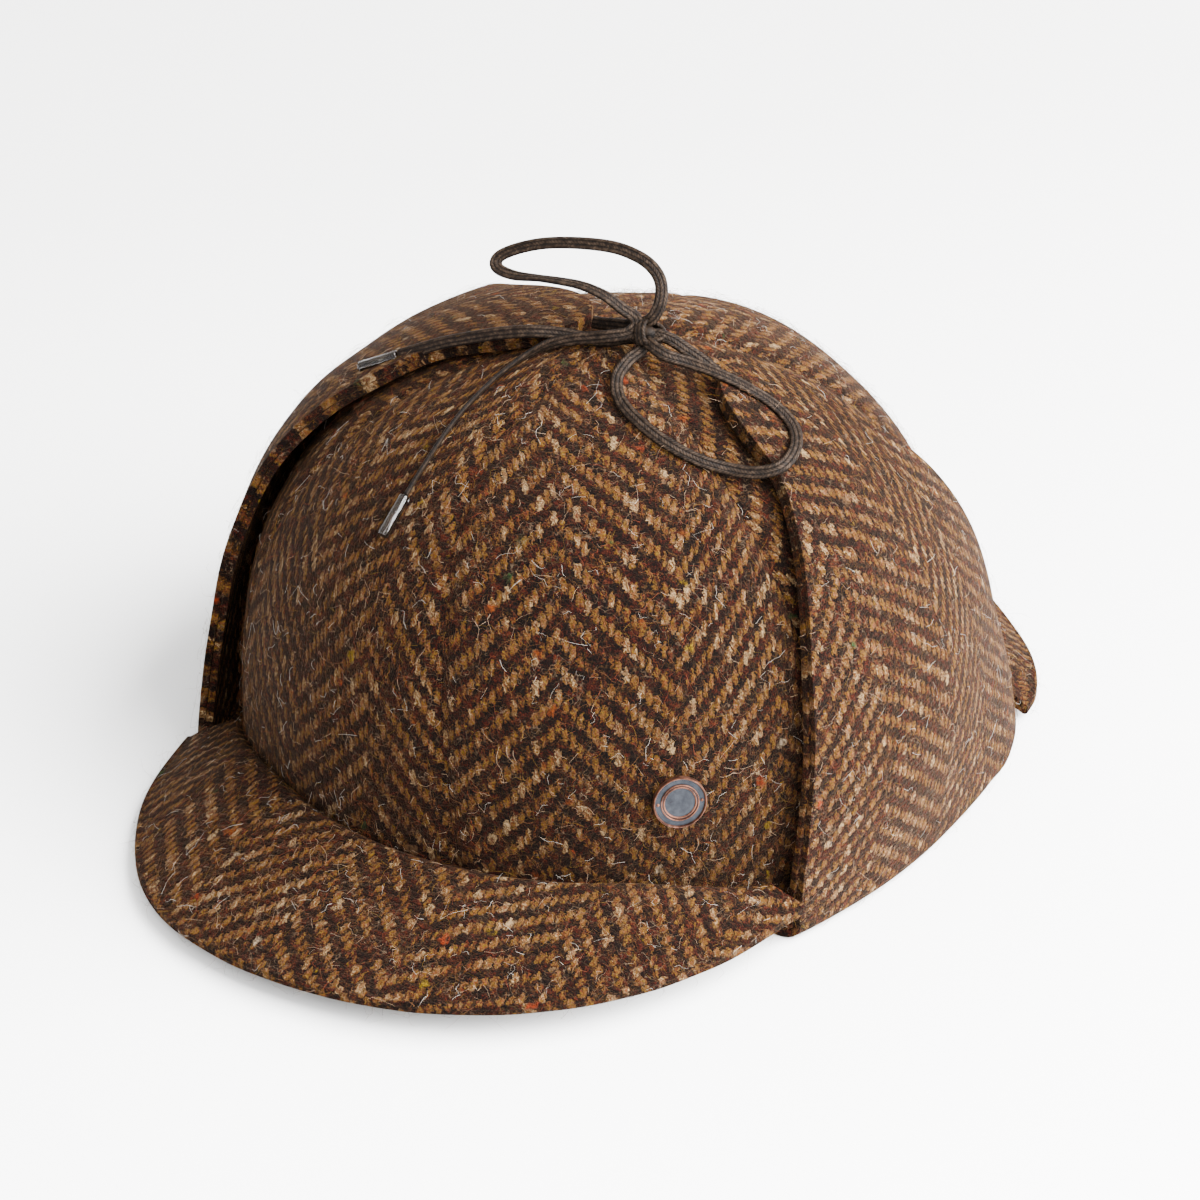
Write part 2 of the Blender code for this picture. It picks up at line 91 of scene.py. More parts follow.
class Socket:
    # an output of a node, so that maths on it is written as on a number
    def __init__(self, tree, link=None):
        self.tree = tree
        self.link = link

    def node(self, kind, settings=None, inputs=None, output=0):
        made = self.tree.nodes.new("ShaderNode" + kind)
        for key, value in (settings or {}).items():
            if key == "stops":
                while len(made.color_ramp.elements) < len(value):
                    made.color_ramp.elements.new(1.0)
                for element, (place, colour) in zip(made.color_ramp.elements, value):
                    element.position = place
                    element.color = (*colour, 1)
            elif key == "blend":
                made.color_ramp.interpolation = value
            else:
                setattr(made, key, value)
        for key, value in (inputs or {}).items():
            if isinstance(value, Socket):
                self.tree.links.new(value.link, made.inputs[key])
            else:
                made.inputs[key].default_value = value
        return Socket(self.tree, made.outputs[output])

    def other(self, name):
        return Socket(self.tree, self.link.node.outputs[name])

    def maths(self, operation, first, second=0.0):
        return self.node("Math", {"operation": operation}, {0: first, 1: second})

    def __add__(self, other):
        return self.maths("ADD", self, other)

    __radd__ = __add__

    def __sub__(self, other):
        return self.maths("SUBTRACT", self, other)

    def __rsub__(self, other):
        return self.maths("SUBTRACT", other, self)

    def __mul__(self, other):
        return self.maths("MULTIPLY", self, other)

    __rmul__ = __mul__

    def __truediv__(self, other):
        return self.maths("DIVIDE", self, other)

    def __mod__(self, other):
        return self.maths("FLOORED_MODULO", self, other)

    def __pow__(self, other):
        return self.maths("POWER", self, other)

    def __abs__(self):
        return self.maths("ABSOLUTE", self)

    def floor(self):
        return self.maths("FLOOR", self)

    def root(self):
        return self.maths("SQRT", self.maths("MAXIMUM", self, 0.0))

    def highest(self, other):
        return self.maths("MAXIMUM", self, other)

    def clamp(self):
        return self.node("Clamp", inputs={"Value": self})

    def ramp(self, stops, blend="LINEAR"):
        return self.node("ValToRGB", {"stops": stops, "blend": blend}, {"Fac": self})

    def mixed(self, first, second):
        # colours, by this socket as the factor
        return self.node("Mix", {"data_type": "RGBA"}, {0: self, 6: first, 7: second}, 2)

    def grain(self, place, scale, detail=2.0, output="Fac"):
        return self.node("TexNoise", {}, {"Vector": place, "Scale": scale, "Detail": detail}, output)

    def split(self):
        return self.node("SeparateXYZ", inputs={"Vector": self})

    def joined(self, x, y, z=0.0):
        return self.node("CombineXYZ", inputs={"X": x, "Y": y, "Z": z})


def newMaterial(name, fixed):
    made = bpy.data.materials.new(name)
    made.use_nodes = True
    shader = made.node_tree.nodes["Principled BSDF"]
    for key, value in fixed.items():
        shader.inputs[key].default_value = value
    return made, shader, Socket(made.node_tree)


def feed(socket, shader, name):
    socket.tree.links.new(socket.link, shader.inputs[name])


def feedBump(height, strength, distance, shader):
    bump = height.node("Bump", {}, {"Height": height, "Strength": strength, "Distance": distance})
    feed(bump, shader, "Normal")


# Tweed. The weave map counts threads: U across the columns, V along them.
tweed = {
    "thread": 0.0018,        # pitch of the yarns
    "columnThreads": 16,     # yarns in one column of the herringbone
    "relief": 0.0008,
    "bump": 0.9,
    # how far the yarns stray: noise scale, threads across, threads along
    "wander": (330.0, 0.8, 0.9),
    "fray": (1300.0, 1.1, 1.3),
    "fibreScale": 2600.0,
    "darkScale": 420.0,
    "weftLength": 1.35, "weftWidth": 0.55, "weftRise": 0.62,
    "nepScale": 150.0, "nepBend": 0.004,
    "nepsFrom": 0.57,        # neps grow in the cells above this share
    "paintedLightFrom": 0.07,      # height where the painted light that changes with height is nil, so the brightness is as given
    "light": (
        (0.0, (0.008, 0.0032, 0.0024)), (0.13, (0.036, 0.0110, 0.0055)), (0.23, (0.086, 0.0160, 0.0062)),
        (0.33, (0.070, 0.0400, 0.0030)), (0.43, (0.082, 0.0320, 0.0150)), (0.53, (0.118, 0.0700, 0.0032)),
        (0.63, (0.088, 0.0160, 0.0066)), (0.74, (0.098, 0.0440, 0.0190)), (0.90, (0.128, 0.0720, 0.0300)),
        (1.0, (0.215, 0.1400, 0.0700))),
    "dark": (
        (0.36, (0.0011, 0.0008, 0.0013)), (0.50, (0.0036, 0.0014, 0.0015)), (0.60, (0.017, 0.0029, 0.0021)),
        (0.70, (0.040, 0.0060, 0.0034)), (0.84, (0.062, 0.0150, 0.0050))),
    # scale, sharpness, strength, colour
    "hairs": (
        (640.0, 24.0, 0.60, (0.085, 0.042, 0.014)), (900.0, 20.0, 0.80, (0.003, 0.0016, 0.0018)),
        (560.0, 30.0, 0.60, (0.055, 0.0095, 0.0045)), (430.0, 44.0, 0.60, (0.15, 0.10, 0.062))),
    "neps": (
        (0.0, (0.13, 0.066, 0.03)), (0.14, (0.168, 0.022, 0.0054)), (0.32, (0.155, 0.092, 0.0035)),
        (0.60, (0.24, 0.175, 0.11)), (0.72, (0.150, 0.030, 0.0050)), (0.88, (0.016, 0.040, 0.012))),
    # painted light: the one tweed gets a brightness for each cloth, lighter on the lit flaps than on the
    # shaded crown, and a change per metre of height, which paints the crown darker low down where the flaps
    # and peaks shade it and the flaps lighter low down
    "crown": (0.45, 4.5), "flaps": (0.56, -2.0), "peaks": (0.53, 0.0),
}


def tweedMaterial(name, toneAndPaintedLight, rising):
    made, shader, start = newMaterial(name, {"Sheen Weight": 0.03, "Sheen Roughness": 0.5,
                                             "Sheen Tint": (1.0, 0.6, 0.35, 1), "Specular IOR Level": 0.03})
    place = start.node("TexCoord", output="Object")
    parts = start.node("UVMap", {"uv_map": "weave"}).split()
    scale, wanderAcross, wanderAlong = tweed["wander"]
    wander = start.grain(place, scale, output="Color")
    wanders = wander.split()
    scale, frayAcross, frayAlong = tweed["fray"]
    frays = start.grain(place, scale, output="Color").split()
    u = parts + (wanders - 0.5) * wanderAcross + (frays - 0.5) * frayAcross
    v = parts.other("Y") + (wanders.other("Y") - 0.5) * wanderAlong + (frays.other("Y") - 0.5) * frayAlong
    odd = (parts / tweed["columnThreads"]).floor() % 2.0
    way = 1.0 - 2.0 * odd
    warp = u.floor()
    weft = v.floor()
    # light warp floats, each over two wefts
    climb = v + way * warp + 2.0 * odd
    along = abs((climb + 1.0) % 4.0 - 2.0)
    floatNumber = start.joined(warp, ((climb + 1.0) / 4.0).floor())
    size = start.node("TexWhiteNoise", {"noise_dimensions": "2D"}, {"Vector": floatNumber})
    across = (u - warp - 0.5) / (0.40 + 0.18 * size)
    plump = (1.0 - across * across - (along / (1.02 + 0.22 * size)) ** 2.0).root()
    # dark weft floats between them
    run = weft + way * u + 2.0 * odd
    beside = abs((run - (2.5 + 0.5 * way) + 2.0) % 4.0 - 2.0) / tweed["weftLength"]
    over = (v - weft - 0.5) / tweed["weftWidth"]
    flat = (1.0 - over * over - beside * beside).root() * tweed["weftRise"]
    # fibres twist along the yarns, and break up the floats' edges and colours
    twist = start.joined(u * 5.0 + v * 1.7, v * 0.9, size * 9.0)
    strands = start.grain(twist, 1.0, 3.0)
    fibres = start.grain(place, tweed["fibreScale"], 3.0)
    shown = ((plump - flat) * 3.2 + (strands - 0.5) * 2.6 + (fibres - 0.5) * 1.6 + 0.10).clamp()
    # each float has its own shade, and every yarn changes slowly along its length
    yarn = start.grain(start.joined(warp * 0.61, v * 0.05), 1.7, 1.0)
    shade = ((size - 0.5) * 0.62 + (yarn - 0.5) * 1.4 + 0.44 + (strands - 0.5) * 2.4).clamp()
    light = shade.ramp(tweed["light"])
    darkMix = start.grain(place, tweed["darkScale"], 3.0) + (fibres - 0.5) * 0.75 + (strands - 0.5) * 0.35
    dark = darkMix.ramp(tweed["dark"])
    cloth = shown.mixed(dark, light)
    # single hairs that curl over the surface: thin contours of a slow noise
    for scale, sharp, strength, colour in tweed["hairs"]:
        hair = (1.0 - abs(start.grain(place, scale, 1.0) - 0.5) * sharp).clamp()
        hair = hair * ((start.grain(place, scale * 0.37, 1.0) - 0.47) * 9.0).clamp() * strength
        cloth = hair.mixed(cloth, (*colour, 1))
    # neps: small ragged blobs of bright wool
    bent = start.node("VectorMath", {"operation": "MULTIPLY_ADD"},
                      {0: wander, 1: (tweed["nepBend"],) * 3, 2: place})
    cells = start.node("TexVoronoi", {}, {"Vector": bent, "Scale": tweed["nepScale"]}, "Distance")
    tint = cells.other("Color").split()
    spot = (0.10 + tint.other("Y") * 0.15 + (strands - 0.5) * 0.35 - cells) * 9.0
    nep = spot.clamp() * ((tint.other("Z") - tweed["nepsFrom"]) * 20.0).clamp()
    cloth = nep.mixed(cloth, tint.ramp(tweed["neps"], "CONSTANT"))
    # painted shade: the hollows between yarns stay dark
    depth = plump.highest(flat)
    fibreToneAndPaintedLight = (0.36 + 0.66 * depth) * (2.2 * fibres + 1.3 * strands - 0.80).highest(0.18) * toneAndPaintedLight
    # painted light: the cloth lighter or darker with height, by each cloth's change per metre
    height = place.split().other("Z")
    fibreToneAndPaintedLight = fibreToneAndPaintedLight * (1.0 + (height - tweed["paintedLightFrom"]) * rising)
    cloth = start.node("Mix", {"data_type": "RGBA", "blend_type": "MULTIPLY"},
                       {0: 1.0, 6: cloth, 7: start.joined(fibreToneAndPaintedLight, fibreToneAndPaintedLight, fibreToneAndPaintedLight)}, 2)
    feed(cloth, shader, "Base Color")
    feed(0.86 + 0.12 * fibres, shader, "Roughness")
    relief = depth * 0.8 + fibres * 0.45 + strands * 0.9 + nep * 0.5
    feedBump(relief, tweed["bump"], tweed["relief"], shader)
    return made


crownTweed = tweedMaterial("tweedOfCrown", *tweed["crown"])
flapTweed = tweedMaterial("tweedOfFlaps", *tweed["flaps"])
peakTweed = tweedMaterial("tweedOfPeaks", *tweed["peaks"])

fuzz = {
    "thick": 0.000026, "rings": 5, "sides": 3,
    "crown": 3000, "sideGores": 700, "peak": 2700, "flap": 4000,   # hairs on each piece
    "shortest": 0.0008, "length": 0.0008, "stand": 0.00033, "curl": 0.30, "scatter": 0.0005,
    "bare": 0.0012,          # none below this height, where the cloth touches the floor
    "lowest": 0.0002,
    "tints": ((0.0, (0.010, 0.004, 0.0026)), (0.30, (0.035, 0.012, 0.005)), (0.50, (0.085, 0.038, 0.015)),
              (0.70, (0.10, 0.055, 0.009)), (0.80, (0.11, 0.024, 0.010)), (0.87, (0.22, 0.15, 0.10)),
              (0.95, (0.30, 0.27, 0.24))),
}


def fuzzMaterial():
    made, shader, start = newMaterial("looseWool", {"Roughness": 0.8, "Specular IOR Level": 0.05})
    tint = start.node("Attribute", {"attribute_name": "tint"}, output="Fac")
    feed(tint.ramp(fuzz["tints"], "CONSTANT"), shader, "Base Color")
    return made


looseWool = fuzzMaterial()
print("Tweed and wool mixed")

# Laces: two flat waxed braids. Each is one cord from its flap's tip, through the bow, to its aglet.
lace = {"width": 0.0032, "thick": 0.0011, "ringStep": 0.0007, "sides": 14, "relief": 0.0003,
        "browns": ((0.0, (0.0010, 0.0006, 0.0004)), (0.5, (0.0062, 0.0037, 0.0023)),
                   (1.0, (0.026, 0.0170, 0.0112)))}
leftLace = (  # lead, knot, lower loop, knot, long end to the wearer's right
    (31.3, -0.3, 116.5), (27.6, -1.2, 119.3), (23.7, -2.2, 121.8), (19.8, -3.3, 124.2), (15.6, -4.6, 124.9),
    (14.5, -8.1, 122.1), (13.2, -12.6, 120.9), (13.3, -18.4, 118.9), (16.8, -23.4, 116.1),
    (24.0, -26.7, 113.3), (32.1, -27.7, 110.1), (40.0, -26.2, 106.9), (46.7, -23.3, 104.8),
    (53.0, -21.3, 104.6), (57.8, -17.7, 105.9), (57.7, -10.1, 107.2), (54.2, -4.2, 109.2),
    (48.0, -1.8, 112.2), (41.0, -2.8, 115.8), (34.1, -4.6, 118.7), (26.5, -6.0, 120.6), (21.5, -8.3, 122.4),
    (17.8, -8.1, 123.7), (13.6, -6.2, 124.2), (9.0, -5.1, 122.6), (4.8, -7.0, 121.8), (0.3, -8.4, 121.7),
    (-6.2, -11.6, 123.1), (-12.8, -15.0, 123.6), (-20.4, -16.5, 121.9), (-28.5, -17.5, 119.1),
    (-36.6, -18.4, 115.9), (-48.1, -19.2, 110.1))
rightLace = (  # lead, knot, upper loop, knot, short end towards the front
    (-1.6, -3.1, 123.5), (1.6, -3.5, 124.0), (5.0, -3.9, 124.8), (8.4, -4.2, 125.5), (12.6, -3.9, 127.0),
    (15.2, -3.4, 129.0), (16.3, -1.6, 132.7), (15.4, 0.4, 136.6), (12.6, 1.8, 139.4), (8.0, 2.6, 141.2),
    (1.0, 2.9, 142.0), (-8.2, 2.4, 141.2), (-17.5, 1.4, 139.4), (-24.6, -0.5, 137.0), (-28.6, -2.6, 134.6),
    (-27.6, -4.7, 132.9), (-21.9, -6.1, 132.8), (-13.1, -6.6, 134.2), (-3.4, -6.7, 134.9), (3.4, -6.5, 133.6),
    (8.0, -5.6, 130.6), (10.9, -4.7, 128.6), (12.0, -6.2, 126.9), (10.4, -8.2, 125.5), (6.5, -10.2, 124.8),
    (2.8, -11.0, 123.9), (-2.4, -12.6, 122.9), (-7.9, -15.2, 121.2), (-12.2, -18.9, 118.7),
    (-15.6, -25.2, 115.9), (-17.8, -31.3, 113.2), (-19.5, -38.4, 110.1), (-20.7, -46.2, 106.1),
    (-21.8, -53.0, 101.6), (-22.7, -59.6, 97.2))
# where the braid's broad face looks, at shares of its length
leftFace = ((0.0, (0.5, -0.6, 0.6)), (0.12, (0.4, -0.75, 0.5)), (0.40, (0.45, -0.70, 0.55)),
            (0.50, (0.1, -0.25, 0.95)), (0.60, (0.2, -0.40, 0.9)), (0.66, (0.4, -0.75, 0.5)),
            (1.0, (0.3, -0.70, 0.65)))
rightFace = ((0.0, (0.4, -0.75, 0.5)), (0.14, (0.5, -0.75, 0.4)), (0.30, (0.35, -0.6, 0.75)),
             (0.38, (0.3, -0.6, 0.8)), (0.46, (0.0, 0.0, 1.0)), (0.54, (0.1, -0.2, 1.0)),
             (0.62, (0.4, -0.75, 0.5)), (0.70, (0.55, -0.60, 0.2)), (0.78, (0.77, 0.11, -0.43)),
             (1.0, (0.74, 0.02, -0.36)))


def smoothRoute(points, step):
    points = [np.array(point) / 1000 for point in points]
    ends = [points[0] * 2 - points[1], *points, points[-1] * 2 - points[-2]]
    fine = []
    for before, start, end, after in zip(ends, ends[1:], ends[2:], ends[3:]):
        for share in np.arange(0, 1, 1 / 12):
            fine.append(0.5 * (2 * start + (end - before) * share
                               + (2 * before - 5 * start + 4 * end - after) * share ** 2
                               + (3 * start - before - 3 * end + after) * share ** 3))
    fine.append(points[-1])
    fine = np.array(fine)
    lengths = np.concatenate([[0], np.cumsum(np.linalg.norm(np.diff(fine, axis=0), axis=1))])
    wanted = np.linspace(0, lengths[-1], max(2, round(lengths[-1] / step)) + 1)
    return np.array([np.interp(wanted, lengths, fine[:, axis]) for axis in range(3)]).T, lengths[-1]


def unit(rows):
    return rows / np.maximum(np.linalg.norm(rows, axis=-1, keepdims=True), 1e-12)


def ribbon(name, route, faced, width, thick, axis=None):
    # flat braid with rounded edges along a route, or along a closed ring round an axis; its map is in mm
    closed = axis is not None
    count, sides = len(route), lace["sides"]
    ahead = unit(np.roll(route, -1, 0) - np.roll(route, 1, 0)) if closed else unit(np.gradient(route, axis=0))
    shares = np.linspace(0, 1, count)
    if closed:
        wide = unit(axis - ahead * (ahead @ np.array(axis))[:, None])
    else:
        places, aims = [row[0] for row in faced], [row[1] for row in faced]
        look = [np.interp(shares, places, [aimed[part] for aimed in aims]) for part in range(3)]
        wide = unit(np.cross(np.array(look).T, ahead))
    up = np.cross(ahead, wide)
    angles = np.arange(sides) * 2 * math.pi / sides
    across = np.sign(np.cos(angles)) * abs(np.cos(angles)) ** 0.7 * width / 2
    lift = np.sign(np.sin(angles)) * abs(np.sin(angles)) ** 0.8 * thick / 2
    rings = route[:, None] + wide[:, None] * across[:, None] + up[:, None] * lift[:, None]
    verts = rings.reshape(-1, 3)
    faces = []
    for ring in range(count if closed else count - 1):
        low, high = ring * sides, (ring + 1) % count * sides
        for side in range(sides):
            following = (side + 1) % sides
            faces.append((low + side, low + following, high + following, high + side))
    if not closed:
        faces.append(tuple(reversed(range(sides))))
        faces.append(tuple((count - 1) * sides + side for side in range(sides)))
    item = addMesh(name, verts.tolist(), [], faces)
    mesh = item.data
    steps = np.linalg.norm(np.diff(route, axis=0), axis=1).mean() * 1000
    layer = mesh.uv_layers.new(name="braid")
    for polygon in mesh.polygons:
        rows = [mesh.loops[index].vertex_index // sides for index in polygon.loop_indices]
        for index in polygon.loop_indices:
            ring, side = divmod(mesh.loops[index].vertex_index, sides)
            ring += count if closed and ring == 0 and max(rows) > 1 else 0
            layer.data[index].uv = (ring * steps, float(across[side]) * 1000)
    faceOutward(item)
    bpy.ops.object.shade_smooth_by_angle(angle=math.radians(60))
    return item


def laceMaterial():
    made, shader, start = newMaterial("waxedBraid", {"Specular IOR Level": 0.05})
    place = start.node("TexCoord", output="Object")
    parts = start.node("UVMap", {"uv_map": "braid"}).split()
    # three ribs of strands, which lean one way and the other in turn
    rib = parts.other("Y") * 0.94 + 0.5
    inside = rib - rib.floor() - 0.5
    lean = 1.0 - 2.0 * (rib.floor() % 2.0)
    leaning = abs((parts * 1.15 + inside * lean * 1.2) % 1.0 - 0.5) * 2.0
    strand = (1.0 - leaning * leaning).root() * 0.40 + (1.0 - inside * inside * 4.0).root() * 0.75
    dust = start.grain(place, 900.0, 3.0)
    # painted shade: the braid is darker in the grooves between its strands and lighter on their crowns, with
    # random dust tone over it
    dustAndGrooveShade = ((dust - 0.5) * 1.6 + strand * 1.0 - 0.45).clamp()
    feed(dustAndGrooveShade.ramp(lace["browns"]), shader, "Base Color")
    feed(0.45 + dust * 0.3, shader, "Roughness")
    feedBump(strand + dust * 0.4, 0.9, lace["relief"], shader)
    return made


waxedBraid = laceMaterial()
laceRoutes = {}
for name, points, faced in (("laceLeft", leftLace, leftFace), ("laceRight", rightLace, rightFace)):
    route, length = smoothRoute(points, lace["ringStep"])
    piece = ribbon(name, route, faced, lace["width"], lace["thick"])
    piece.data.materials.append(waxedBraid)
    laceRoutes[name] = (piece, route, length)
print("Laces laid")

# Knot: a band wrapped round the crossing strands, one strand across it, and a filled middle
knot = {"centre": (0.0140, -0.0046, 0.1250), "band": (0.0036, 0.0031), "bandWidth": 0.0031,
        "strand": (0.0042, 0.0031), "strandWidth": 0.0026, "middle": (0.0026, 0.0022, 0.0020)}


def ringRoute(centre, first, second, sizes, count=56):
    turn = np.arange(count) * 2 * math.pi / count
    first, second = unit(np.array(first)), unit(np.array(second))
    return (np.array(centre) + np.cos(turn)[:, None] * first * sizes[0]
            + np.sin(turn)[:, None] * second * sizes[1])


band = ribbon("bowKnot", ringRoute(knot["centre"], (-0.1, 1, 0), (-0.35, 0, 1), knot["band"]), None,
              knot["bandWidth"], lace["thick"], (1.0, 0.1, 0.35))
strand = ribbon("knotStrand", ringRoute(knot["centre"], (1, 0.2, -0.25), (0.3, 0.8, 0.4), knot["strand"]),
                None, knot["strandWidth"], lace["thick"], (0.35, -0.5, 0.8))
bpy.ops.mesh.primitive_uv_sphere_add(segments=24, ring_count=12, radius=1.0, location=knot["centre"],
                                     scale=knot["middle"])
core = bpy.context.object
core.data.uv_layers[0].name = "braid"
pick(band, strand, core)
bpy.ops.object.join()
applyPlace(band)
band.data.materials.clear()
band.data.materials.append(waxedBraid)

# Aglets: clear sleeves heat-shrunk over the braid's ends
aglet = {"length": 0.0115, "radius": 0.0014, "gap": 0.0004, "rounding": 0.00035,
         "braidFrom": 0.0012, "braidShare": 0.9, "braidWidth": 0.0024, "braidThick": 0.0020,
         "aims": {"laceLeft": (-0.87, -0.16, -0.43), "laceRight": (-0.07, -0.83, -0.55)}}


def agletMaterial():
    clear, shader, start = newMaterial("clearSleeve", {"Base Color": (0.97, 0.96, 0.95, 1), "IOR": 1.33,
                                                       "Transmission Weight": 1.0})
    place = start.node("TexCoord", output="Object")
    feed(0.02 + start.grain(place, 600.0) * 0.05, shader, "Roughness")
    feedBump(start.grain(place, 420.0), 0.2, 0.0001, shader)
    return clear


clearSleeve = agletMaterial()
agletPieces = {}
for name, aimed in aglet["aims"].items():
    direction = Vector(aimed).normalized()
    end = Vector(laceRoutes[name][1][-1])
    middle = end + direction * (aglet["gap"] + aglet["length"] / 2)
    bpy.ops.object.select_all(action="DESELECT")
    bpy.ops.mesh.primitive_cylinder_add(vertices=28, radius=aglet["radius"], depth=aglet["length"],
                                        location=middle)
    sleeve = bpy.context.object
    sleeve.name = "agletOn" + name[0].upper() + name[1:]
    sleeve.rotation_euler = direction.to_track_quat("Z", "Y").to_euler()
    applyPlace(sleeve)
    bevel = sleeve.modifiers.new("rounded", "BEVEL")
    bevel.width, bevel.segments = aglet["rounding"], 3
    applyModifiers(sleeve)
    bpy.ops.object.shade_smooth_by_angle(angle=math.radians(40))
    sleeve.data.materials.append(clearSleeve)
    coreRoute = np.array([
        end + direction * (aglet["braidFrom"] + aglet["length"] * aglet["braidShare"] * share)
        for share in np.linspace(0, 1, 10)])
    sideways = direction.cross(Vector((0, 0, 1))).normalized()
    inside = ribbon("braidIn" + sleeve.name[0].upper() + sleeve.name[1:], coreRoute,
                    ((0.0, sideways), (1.0, sideways)), aglet["braidWidth"], aglet["braidThick"])
    inside.data.materials.append(waxedBraid)
    agletPieces[name] = (sleeve, inside)

for name, hand, nodes in (("laceLeft", "left", ("lace_lead_left", "lace_loop_down", "lace_tail_left")),
                          ("laceRight", "right", ("lace_lead_right", "lace_loop_up", "lace_tail_right"))):
    piece, route, length = laceRoutes[name]
    sleeve, inside = agletPieces[name]
    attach(piece, "root")
    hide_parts(*nodes)
    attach(sleeve, "root")
    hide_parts("aglet_" + hand)
    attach(inside, "root")
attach(band, "root")
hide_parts("bow_knot")
print("Knot tied, aglets on")

# Crown: six gores of one dome
crown = {
    "halfWidth": 0.0939, "halfDepth": 0.0964, "height": 0.1212, "planPower": 1.5, "sidePower": 3.2,
    "cloth": 0.0030, "rounding": 0.0004, "seamGap": 0.0001, "seamDip": 0.0009, "seamWidth": 0.0021,
    "lumps": 0.00045, "lumpSize": 0.03, "columns": 62, "rows": 78,
    # fuller back left: height, middle and width in degrees, middle and width in shares of the rise
    "shoulder": (0.0036, 152, 38, 0.72, 0.25),
    "frontSeam": ((0.0, 7.2), (0.125, 6.5), (0.28, 3.7), (0.43, 0.3), (0.556, -3.4), (0.64, -7.1),
                  (0.73, -10.6), (0.83, -5.0), (0.90, 0.0), (1.0, 0.0)),
    "otherSeams": 6.5,
    "seamHeight": 0.0225, "seamFall": 0.008, "fallStart": 30.0, "fallEnd": 58.0,
    "peakCloth": 0.0045, "foldHeight": 0.0042, "flapFrontTurn": 33.7,
    # lines where the herringbone turns: share of the rise, degrees from the front
    "turningLines": {
        "front_left": (
            (0, ((0.168, 22.4), (0.249, 22.5), (0.391, 22.0), (0.527, 20.5), (0.671, 16.6), (0.798, 7.0),
                 (0.90, -26.0))),
            (16, ((0.147, 40.2), (0.301, 40.5), (0.439, 41.9), (0.576, 45.0), (0.707, 51.7), (0.85, 66.0))),
            (32, ((0.175, 56.5), (0.298, 56.9), (0.411, 58.2), (0.491, 60.6), (0.573, 64.2), (0.75, 80.0),
                  (0.85, 100.0)))),
        "front_right": (
            (-16, ((0.239, -25.7), (0.329, -26.9), (0.393, -30.2), (0.451, -33.8), (0.572, -36.9),
                   (0.671, -40.5), (0.777, -40.5), (0.9, -52.0))),
            (0, ((0.213, -9.1), (0.302, -10.3), (0.396, -13.4), (0.508, -15.8), (0.614, -16.0),
                 (0.728, -16.2), (0.9, -19.0)))),
        "side_left": ((0, ((0.0, 90.0), (1.0, 88.0))),),
        "back_left": ((16, ((0.0, 152.0), (1.0, 150.0))),),
        "back_right": ((0, ((0.0, 212.0), (1.0, 210.0))),),
        "side_right": ((16, ((0.0, 272.0), (1.0, 270.0))),),
    },
}
goreNames = ("front_left", "side_left", "back_left", "back_right", "side_right", "front_right")


def ease(share):
    share = np.clip(share, 0.0, 1.0)
    return share * share * (3 - 2 * share)


def curveThrough(rows):
    # dense samples of a smooth curve through a table, for np.interp
    xs, ys = np.array(rows, float).T
    slopes = np.gradient(ys, xs)
    slopes[1:-1] = (ys[2:] - ys[:-2]) / (xs[2:] - xs[:-2])
    place = np.linspace(xs[0], xs[-1], 600)
    index = np.clip(np.searchsorted(xs, place) - 1, 0, len(xs) - 2)
    span = xs[index + 1] - xs[index]
    t = (place - xs[index]) / span
    value = ((2 * t ** 3 - 3 * t ** 2 + 1) * ys[index] + (t ** 3 - 2 * t ** 2 + t) * slopes[index] * span
             + (3 * t ** 2 - 2 * t ** 3) * ys[index + 1] + (t ** 3 - t ** 2) * slopes[index + 1] * span)
    return place, value


profileAngle = np.linspace(0, math.pi / 2, 1201)
profileRadius = np.maximum(np.cos(profileAngle), 0) ** (2 / crown["planPower"])
profileHeight = crown["height"] * np.sin(profileAngle) ** (2 / crown["sidePower"])
meanRadius = (crown["halfWidth"] + crown["halfDepth"]) / 2
profileLength = np.concatenate([[0], np.cumsum(np.hypot(np.diff(profileRadius) * meanRadius,
                                                        np.diff(profileHeight)))])
riseLength = profileLength[-1]
profileRise = profileLength / riseLength
frontSeam = curveThrough(crown["frontSeam"])


def crownPoint(turn, rise):
    radius = np.interp(rise, profileRise, profileRadius)
    return np.stack([crown["halfWidth"] * radius * np.sin(turn), -crown["halfDepth"] * radius * np.cos(turn),
                     np.interp(rise, profileRise, profileHeight)], -1)


def crownNormal(points):
    width, depth, height = crown["halfWidth"], crown["halfDepth"], crown["height"]
    share = np.maximum(np.hypot(points[..., 0] / width, points[..., 1] / depth), 1e-6)
    pull = crown["planPower"] * share ** (crown["planPower"] - 2)
    climb = (crown["sidePower"] * (np.maximum(points[..., 2], 0) / height) ** (crown["sidePower"] - 1)
             / height)
    return unit(np.stack([pull * points[..., 0] / width ** 2, pull * points[..., 1] / depth ** 2, climb], -1))


def offMiddle(turn):
    degrees = abs(np.degrees(np.arctan2(np.sin(turn), np.cos(turn))))
    return np.minimum(degrees, 180 - degrees)


def seamHeight(turn):
    share = (offMiddle(turn) - crown["fallStart"]) / (crown["fallEnd"] - crown["fallStart"])
    return crown["seamHeight"] - crown["seamFall"] * ease(share)


def rimHeight(turn):
    overPeak, overFold = seamHeight(turn) - crown["peakCloth"], crown["foldHeight"]
    return overPeak + (overFold - overPeak) * ease((offMiddle(turn) - crown["flapFrontTurn"] - 4) / 6)


def seamTurn(number, rise):
    if number % 6 == 0:
        return np.radians(360 * (number // 6) + np.interp(rise, *frontSeam))
    return np.radians(360 * number / 6 + crown["otherSeams"] * (1 - rise))


def lumps(points, size, seed):
    # gentle unevenness, between -1 and 1
    x, y, z = (points[..., axis] / size for axis in range(3))
    return (np.sin(x * 3.1 + seed + 1.7 * np.sin(y * 2.3)) * np.cos(z * 2.7 + seed * 2)
            + 0.5 * np.sin(y * 5.3 + seed * 3 + z * 3.9) * np.cos(x * 4.1 + z * 2)) / 1.5


